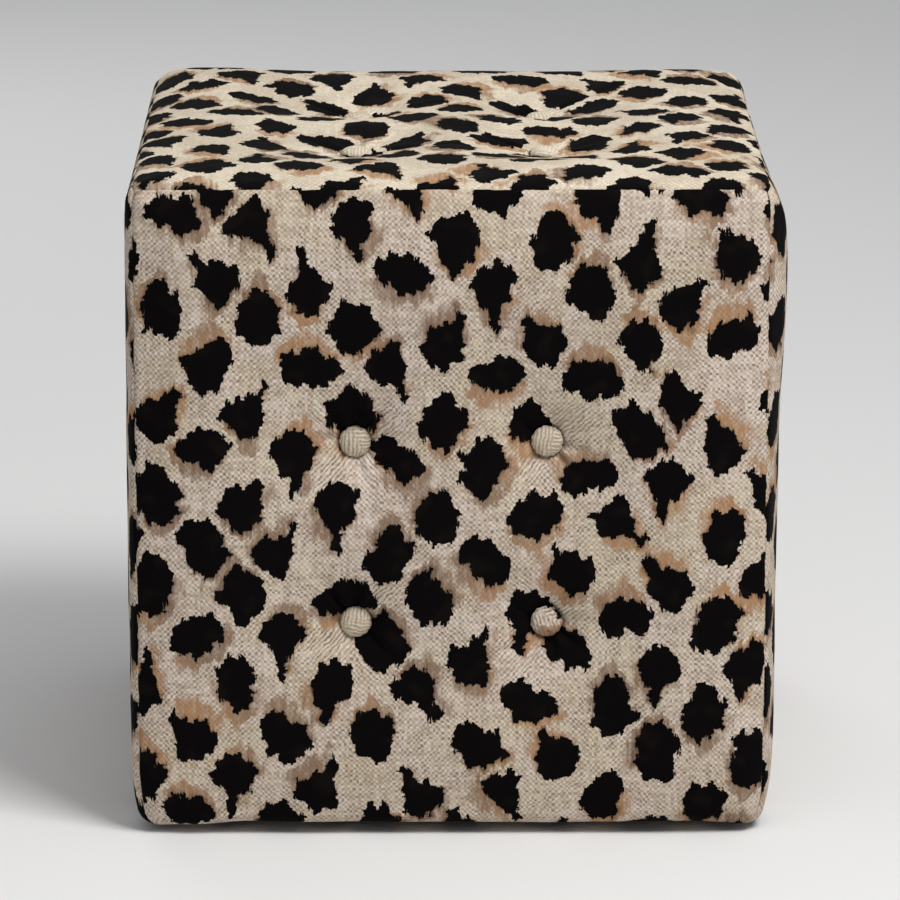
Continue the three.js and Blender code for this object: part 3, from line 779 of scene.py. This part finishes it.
def buttonProfile(depth):
    # Radius and height above the seat, from the middle of the dome round to the middle of the washer
    radius, rim = button["radius"], button["rimHeight"]
    twine, washer = button["twineRadius"], button["washerRadius"]
    dome = [(radius * share, rim + (button["rise"] - rim) * (1 - share ** 2.6) ** 0.62)
            for share in np.sin(np.linspace(0, quarter * 0.99, button["domeRings"]))]
    washerTop = -depth + button["washerThickness"]
    rest = [
        (radius * 1.004, rim * 0.9), (radius * 0.985, rim * 0.4), (button["backRadius"], 0.0), (twine, 0.0),
        (twine, washerTop), (washer, washerTop), (washer, -depth), (0.0, -depth)]
    return dome + rest, len(dome) + 2


def ring(middle, turns, radius, height):
    return np.stack([
        middle[0] + np.cos(turns) * radius, middle[1] + np.sin(turns) * radius,
        np.full_like(turns, height)], -1)


def buildButton(side, key, middle, seed):
    name = "button_" + key
    low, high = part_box(name)
    if side == "top":
        seat = high[2] - button["rise"] + block["sideTuft"][0] - block["topTuft"][0]
        depth = seat - low[2]
    else:
        axis = 1 if side in ("front", "back") else 0
        inner, outer = sorted((abs(low[axis]), abs(high[axis])))
        seat, depth = outer - button["rise"], outer - button["rise"] - inner
    profile, clothRings = buttonProfile(depth)
    rng = np.random.default_rng(seed)
    around = button["around"]
    turns = np.arange(around) * 2 * math.pi / around
    phases = rng.uniform(0, 2 * math.pi, 3)
    folds = sum(
        height * np.sin(turns * count + phase)
        for height, count, phase in zip((1.0, 0.7, 0.5), (11, 17, 5), phases))
    vertices, cut, length = [], [], 0.0
    spin = rng.uniform(0.5, 1.1) * (1 if rng.random() < 0.5 else -1)
    for index, (radius, height) in enumerate(profile):
        if index:
            length += math.hypot(radius - profile[index - 1][0], height - profile[index - 1][1])
        share = max(0.0, radius / button["radius"]) ** 6 if index < clothRings else 0.0
        spread = radius + folds * button["gather"] * share
        vertices.append(ring(middle, turns, spread, seat + height))
        cut.append(ring((0.0, 0.0), turns + spin, length, 0.0)[:, :2])
    rings = len(profile)
    local, cut = np.concatenate(vertices), np.concatenate(cut)
    mesh = newMesh(name, onBlock(side, local), gridFaces(rings, around, around=True))
    isCore = np.repeat(np.arange(rings - 1) >= clothRings, around)
    mesh.polygons.foreach_set("material_index", isCore.astype(np.int32))
    start = np.array(button["cuts"].get(key, rng.uniform(0, 4, 2)))
    turn, shift = rng.uniform(0, 2 * math.pi), rng.uniform(-0.004, 0.004)
    across, _ = turned(*cut.T, math.cos(turn), math.sin(turn))
    layCloth(mesh, cut + start, np.clip((across + shift) / 0.0025, -1, 1) * 0.8)
    cleanUp(mesh)
    printed, plain = (seatCloth, plainSeatCloth) if side == "top" else (printedCloth, plainCloth)
    return addPiece("covered_" + name, mesh, [printed if key in button["cuts"] else plain, waxedTwine])


def twinePaint():
    paint = Paint("waxedTwine")
    lay = paint.noise(paint.object(), 900, 2)
    shade = paint.mix(lay, "6d5f4c", "a89877")
    return paint.finish(shade, 0.7, (lay, 0.0002, 0.6))


waxedTwine = twinePaint()
seed = button["firstSeed"]
for side in tuftNames:
    for tuft, middle in zip(tuftNames[side], panelFacts(side).tufts):
        key = side + "_" + tuft
        covered = buildButton(side, key, middle, seed)
        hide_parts("button_" + key)
        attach(covered, "root")
        seed += 1
print("buttons placed:", seed - button["firstSeed"])


# Dust cover: thin black bonded cloth over the underside, with its edges folded over towards the frame
dustSheet = {
    "hem": 0.012,
    "layer": 0.00034,  # from one folded layer to the next
    "thickness": 0.00022,
    "lines": 72,
    "sag": 0.0015,
    "wrinkle": 0.00035,
    "stapleSpacing": 0.032,
    "dotSpacing": 0.0016,  # the pressed dots that bond the cloth
}


def buildDustSheet():
    low, high = corners("dust_cover")
    half, hem = high.x, dustSheet["hem"]
    inner = np.linspace(-half, half, dustSheet["lines"] + 1)
    fold = np.array([0.25, 0.5, 0.75, 1.0]) * hem
    line = np.concatenate([-half - fold[::-1], inner, half + fold])
    u, v = np.meshgrid(line, line)
    folded = [unit((np.abs(t) - half) / 0.003) for t in (u, v)]
    x, y = (np.where(np.abs(t) > half, np.sign(t) * 2 * half - t, t) for t in (u, v))
    edge = half - np.maximum(np.abs(x), np.abs(y))
    slack = unit(edge / 0.06)
    sag = dustSheet["sag"] * slack ** 0.5 * (1 - (x / half) ** 2) * (1 - (y / half) ** 2)
    pull = np.cos(2 * math.pi * (x + y) / dustSheet["stapleSpacing"]) * np.exp(-edge / 0.022)
    rough = wavy(x, y, 0.055, 901) * slack + 0.6 * wavy(x * 1.6 + y, y - x * 0.4, 0.021, 902) * slack
    z = low.z + dustSheet["layer"] * (folded[0] + folded[1]) - sag
    z = z - dustSheet["wrinkle"] * (pull * 0.5 + rough)
    mesh = newMesh("dustSheet", np.stack([x, y, z], -1), gridFaces(*x.shape))
    mesh.flip_normals()
    mesh.shade_smooth()
    sheet = addPiece("dustSheet", mesh, [bondedCloth()])
    solid = sheet.modifiers.new("thickness", "SOLIDIFY")
    solid.thickness = dustSheet["thickness"]
    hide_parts("dust_cover")
    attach(sheet, "root")


def bondedCloth():
    paint = Paint("bondedCloth")
    place = paint.object()
    x, y, _ = paint.split(place)
    fibre = paint.noise((x, y), 1800, 2)
    patch = paint.noise(place, 35, 2)
    turn = math.pi / dustSheet["dotSpacing"]
    dots = (((x + y) * turn).cosine() * ((x - y) * turn).cosine()).step(0.35, 0.8)
    shade = paint.mix(fibre * 0.6 + patch * 0.4, "141416", "2e2e31")
    pressed = paint.mix(dots * 0.5, shade, "0d0d0f")
    return paint.finish(pressed, 0.8 - dots * 0.25, (fibre * 0.5 - dots, 0.00012, 0.7), specular=0.3)


# Glides: turned plastic discs with a nail up into each post
glide = {"radius": 0.011, "height": 0.005, "edge": 0.0016, "collar": 0.004, "nail": 0.0012, "around": 48}


def buildGlide(name):
    low, high = corners(name)
    middle, top = (low + high) / 2, high.z
    radius, height, edge, collar, nail, around = glide.values()
    sheetLow, sheetHigh = corners("dust_cover")
    collarTop = height + sheetHigh.z - sheetLow.z + 0.0008
    inner = radius - edge
    lowTurns, highTurns = np.linspace(0.15, quarter, 6), np.linspace(0, quarter, 6)
    outline = [
        (0.0, 0.0), (radius * 0.5, 0.0), (inner, 0.0002),
        *((inner + edge * math.sin(turn), edge - edge * math.cos(turn) * 0.9) for turn in lowTurns),
        *((inner + edge * math.cos(turn), height - edge + edge * math.sin(turn)) for turn in highTurns),
        (collar + 0.0004, height), (collar, height + 0.0003), (collar, collarTop),
        (nail, collarTop), (nail, top - 0.004), (0.0, top)]
    turns = np.arange(around) * 2 * math.pi / around
    points = np.array([ring(middle, turns, out, z) for out, z in outline])
    mesh = newMesh(name, points, gridFaces(len(outline), around, around=True))
    cleanUp(mesh)
    isNail = np.array([face.center.z > collarTop - 0.0001 for face in mesh.polygons])
    mesh.polygons.foreach_set("material_index", isNail.astype(np.int32))
    return addPiece("turned_" + name, mesh, [glidePlastic, nailSteel])


def plasticPaint():
    paint = Paint("glidePlastic")
    place = paint.object()
    grain = paint.noise(place, 900, 2)
    scuff = paint.noise(place, 240, 3).step(0.52, 0.7)
    _, _, z = paint.split(place)
    shade = paint.mix(scuff * z.step(0.002, 0.0) * 0.7, "2a2825", "57534c")
    return paint.finish(shade, 0.42 + scuff * 0.25, (grain, 0.0001, 0.4))


def steelPaint():
    paint = Paint("nailSteel")
    drawn = paint.noise(paint.object(), 700, 2)
    shade = paint.mix(drawn, "7f8285", "b3b5b6")
    return paint.finish(shade, 0.3 + drawn * 0.15, metallic=1.0)


# Staples along the dust cover's hem, made by Geometry Nodes
staples = {
    "Reach": 0.158,  # from the middle of a side to its last staple
    "Inset": 0.1735,  # from the middle of the block to a row of staples
    "Level": 0.00492,
    "Count": 11,
    "Crown": 0.0095,
    "Leg": 0.004,
    "Wire": 0.0008,
    "Scatter": 0.0016,
    "Tilt": 0.13,
    "Seed": 7,
}


class Recipe(Nodes):
    def __init__(self, name, sizes, paint):
        tree = bpy.data.node_groups.new(name, "GeometryNodeTree")
        tree.interface.new_socket("Geometry", in_out="OUTPUT", socket_type="NodeSocketGeometry")
        self.values = {**sizes, "Paint": paint}
        for label, value in self.values.items():
            kind = {int: "Int", float: "Float"}.get(type(value), "Material")
            tree.interface.new_socket(label, in_out="INPUT", socket_type="NodeSocket" + kind)
        super().__init__(tree)
        self.given = self.add("NodeGroupInput")

    def between(self, low, high, salt):
        return self.add(
            "FunctionNodeRandomValue", {2: low, 3: high, "Seed": self.given["Seed"] + salt},
            {"data_type": "FLOAT"})[1]

    def line(self, start, end):
        return self.add(
            "GeometryNodeCurvePrimitiveLine", {"Start": self.vector(*start), "End": self.vector(*end)})

    def join(self, parts):
        joined = self.add("GeometryNodeJoinGeometry")
        for part in parts:
            self.tree.links.new(part.socket, joined.socket.node.inputs[0])
        return joined

    def bake(self, name):
        # Runs the tree on an empty mesh and returns the result as a plain piece
        holder = addObject(name + "Recipe", bpy.data.meshes.new(name + "Recipe"))
        modifier = holder.modifiers.new(name, "NODES")
        modifier.node_group = self.tree
        for item in self.tree.interface.items_tree:
            if item.in_out == "INPUT":
                modifier[item.identifier] = self.values[item.name]
        evaluated = holder.evaluated_get(bpy.context.evaluated_depsgraph_get())
        mesh = bpy.data.meshes.new_from_object(evaluated)
        mesh.name = name
        holder.modifiers.remove(modifier)
        bpy.data.objects.remove(holder)
        return addObject(name, mesh)


def buildStaples():
    recipe = Recipe("staplesRecipe", staples, nailSteel)
    given = recipe.given
    half, leg = given["Crown"] * 0.5, given["Leg"]
    crown = recipe.line((-half, 0.0), (half, 0.0))
    legs = [recipe.line((half * way, 0.0), (half * way, 0.0, leg)) for way in (-1, 1)]
    wire = recipe.add(
        "GeometryNodeCurvePrimitiveQuadrilateral", {"Width": given["Wire"] * 0.6, "Height": given["Wire"]})
    staple = recipe.add("GeometryNodeCurveToMesh", {
        "Curve": recipe.join([crown, *legs]), "Profile Curve": wire, "Fill Caps": True})
    reach, inset, level = given["Reach"], given["Inset"], given["Level"]
    line = recipe.line((-reach, -inset, level), (reach, -inset, level))
    points = recipe.add(
        "GeometryNodeCurveToPoints", {"Curve": line, "Count": given["Count"]}, {"mode": "COUNT"})
    scatter, tilt = given["Scatter"], given["Tilt"]
    placed = []
    for side in range(4):
        offset = recipe.vector(
            recipe.between(-scatter, scatter, side), recipe.between(-scatter * 0.5, scatter * 0.5, side + 9))
        moved = recipe.add("GeometryNodeSetPosition", {"Geometry": points, "Offset": offset})
        row = recipe.add("GeometryNodeInstanceOnPoints", {
            "Points": moved, "Instance": staple,
            "Rotation": recipe.vector(0.0, 0.0, recipe.between(-tilt, tilt, side + 17))})
        placed.append(recipe.add(
            "GeometryNodeTransform", {"Geometry": row, "Rotation": (0, 0, side * quarter)}))
    whole = recipe.add("GeometryNodeRealizeInstances", {"Geometry": recipe.join(placed)})
    painted = recipe.add("GeometryNodeSetMaterial", {"Geometry": whole, "Material": given["Paint"]})
    recipe.add("NodeGroupOutput", {"Geometry": painted})
    wires = recipe.bake("hemStaples")
    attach(wires, "root")
    return wires


glidePlastic, nailSteel = plasticPaint(), steelPaint()
buildDustSheet()
for post in ("front_right", "back_right", "back_left", "front_left"):
    foot = buildGlide("glide_" + post)
    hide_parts("glide_" + post)
    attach(foot, "root")
print("underside:", len(buildStaples().data.polygons), "staple faces")


# Woods of the hidden frame
wood = {
    "ringSpacing": 0.011,
    "plySpacing": 0.0012,
    "pineLight": "dcb781",
    "pineDark": "b27f48",
    "knot": "6e4524",
    "plyLight": "cfae80",
    "plyDark": "8f683f",
}


def grained(name, axis):
    # A new paint, the place along the axis, and the places along the other two
    paint = Paint(name)
    across = paint.split(paint.object())
    return paint, across.pop(axis), *across


def pine(name, along):
    paint, length, x, y = grained(name, along)
    drift = paint.noise((length * 2.2, x * 9, y * 9), 1, 2)
    rings = ((x * 1.3 + y * 0.7 + drift * 0.05) / wood["ringSpacing"]).fraction()
    late = rings.step(0.35, 0.95) * (1 - rings.step(0.96, 1.0))
    pore = paint.noise((length * 30, x * 900, y * 900), 1, 2)
    knot = paint.noise((length * 9, x * 22, y * 22), 1, 1)
    shade = paint.mix(late * 0.7 + pore * 0.2, wood["pineLight"], wood["pineDark"])
    knotted = paint.mix(knot.step(0.69, 0.76) * 0.8, shade, wood["knot"])
    return paint.finish(knotted, 0.62 + pore * 0.15, (pore + late * 0.5, 0.0002, 0.5))


def plywood(name, through):
    paint, depth, x, y = grained(name, through)
    swirl = paint.noise((x * 4, y * 14, depth * 4), 1, 3)
    figure = (swirl * 9 + y * 22).sine().step(-0.6, 0.9)
    pore = paint.noise((x * 60, y * 1100, depth * 60), 1, 1)
    ply = ((depth / wood["plySpacing"]).floor() * 0.5).fraction()
    shade = paint.mix(figure * 0.45 + pore * 0.25 + ply * 0.35, wood["plyLight"], wood["plyDark"])
    return paint.finish(shade, 0.6 + pore * 0.2, (pore - ply * 0.4, 0.0002, 0.5))


def finishFrame():
    pines = [pine("pineAcross", 0), pine("pineDeep", 1), pine("pineUpright", 2)]
    plies = [plywood("plywoodSide", 0), plywood("plywoodFront", 1), plywood("plywoodDeck", 2)]
    chosen = {"seat_deck": plies[2]}
    for name in sides:
        along = 0 if name in ("front", "back") else 1
        chosen["side_board_" + name] = plies[1 - along]
        chosen["bottom_rail_" + name] = chosen["top_rail_" + name] = pines[along]
    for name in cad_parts:
        if name.startswith("corner_"):
            chosen[name] = pines[2 if name.startswith("corner_post") else 0]
    for name, paint in chosen.items():
        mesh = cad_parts[name].data
        mesh.materials.clear()
        mesh.materials.append(paint)
    print("frame finished:", len(chosen), "wooden pieces")


finishFrame()


# Stage: a pale floor, soft studio lamps, and the camera
stage = {
    "floorHalf": 12.0,
    "floorColors": ("dedddb", "e4e3e1"),
    "lens": 231.6,
    "cameraPlace": (-0.019, -3.922, 1.175),
    "cameraTurn": (90 - 13.77, 0.0, -0.28),
    "aim": (0.0, 0.0, 0.25),  # what the lamps point at
    "lamps": {  # place, size and power
        "keyLamp": ((1.2, -1.4, 2.7), 1.2, 77),
        "leftLamp": ((-2.0, -2.2, 1.0), 1.4, 3),
        "backLamp": ((-1.2, 2.6, 1.6), 1.4, 12),
    },
    "sunAim": (-0.3, 0.5, -2.6),  # light from above, so that the far floor is pale too
    "sunPower": 0.42,
    "sunSpread": 0.6,
    "sky": (0.93, 0.95, 1.0, 1.0),
    "skyPower": 0.33,
}


def buildStage():
    half = stage["floorHalf"]
    square = np.array([(-half, -half, 0), (half, -half, 0), (half, half, 0), (-half, half, 0)])
    mesh = newMesh("floor", square, [(0, 1, 2, 3)])
    paint = Paint("paleFloor")
    soft = paint.noise(paint.object(), 0.8, 1)
    shade = paint.mix(soft, *stage["floorColors"])
    addPiece("floor", mesh, [paint.finish(shade, 0.9)])


def addLamp(name, kind, power, direction):
    lamp = bpy.data.lights.new(name, kind)
    lamp.energy = power
    holder = addObject(name, lamp)
    holder.rotation_euler = Vector(direction).to_track_quat("-Z", "Y").to_euler()
    return holder


def addLamps():
    addLamp("softSun", "SUN", stage["sunPower"], stage["sunAim"]).data.angle = stage["sunSpread"]
    for name, (place, size, power) in stage["lamps"].items():
        holder = addLamp(name, "AREA", power, Vector(stage["aim"]) - Vector(place))
        holder.location = place
        holder.data.size = size


def buildCamera():
    camera = bpy.data.cameras.new("camera")
    camera.lens = stage["lens"]
    camera.sensor_width = 36.0
    scene.camera = addObject("camera", camera)
    scene.camera.location = stage["cameraPlace"]
    scene.camera.rotation_euler = [math.radians(angle) for angle in stage["cameraTurn"]]


def buildWorld():
    world = bpy.data.worlds.new("studio")
    world.use_nodes = True
    background = world.node_tree.nodes["Background"]
    background.inputs["Color"].default_value = stage["sky"]
    background.inputs["Strength"].default_value = stage["skyPower"]
    scene.world = world


buildStage()
addLamps()
buildCamera()
buildWorld()
scene.view_settings.view_transform = "Standard"
print("stage ready")
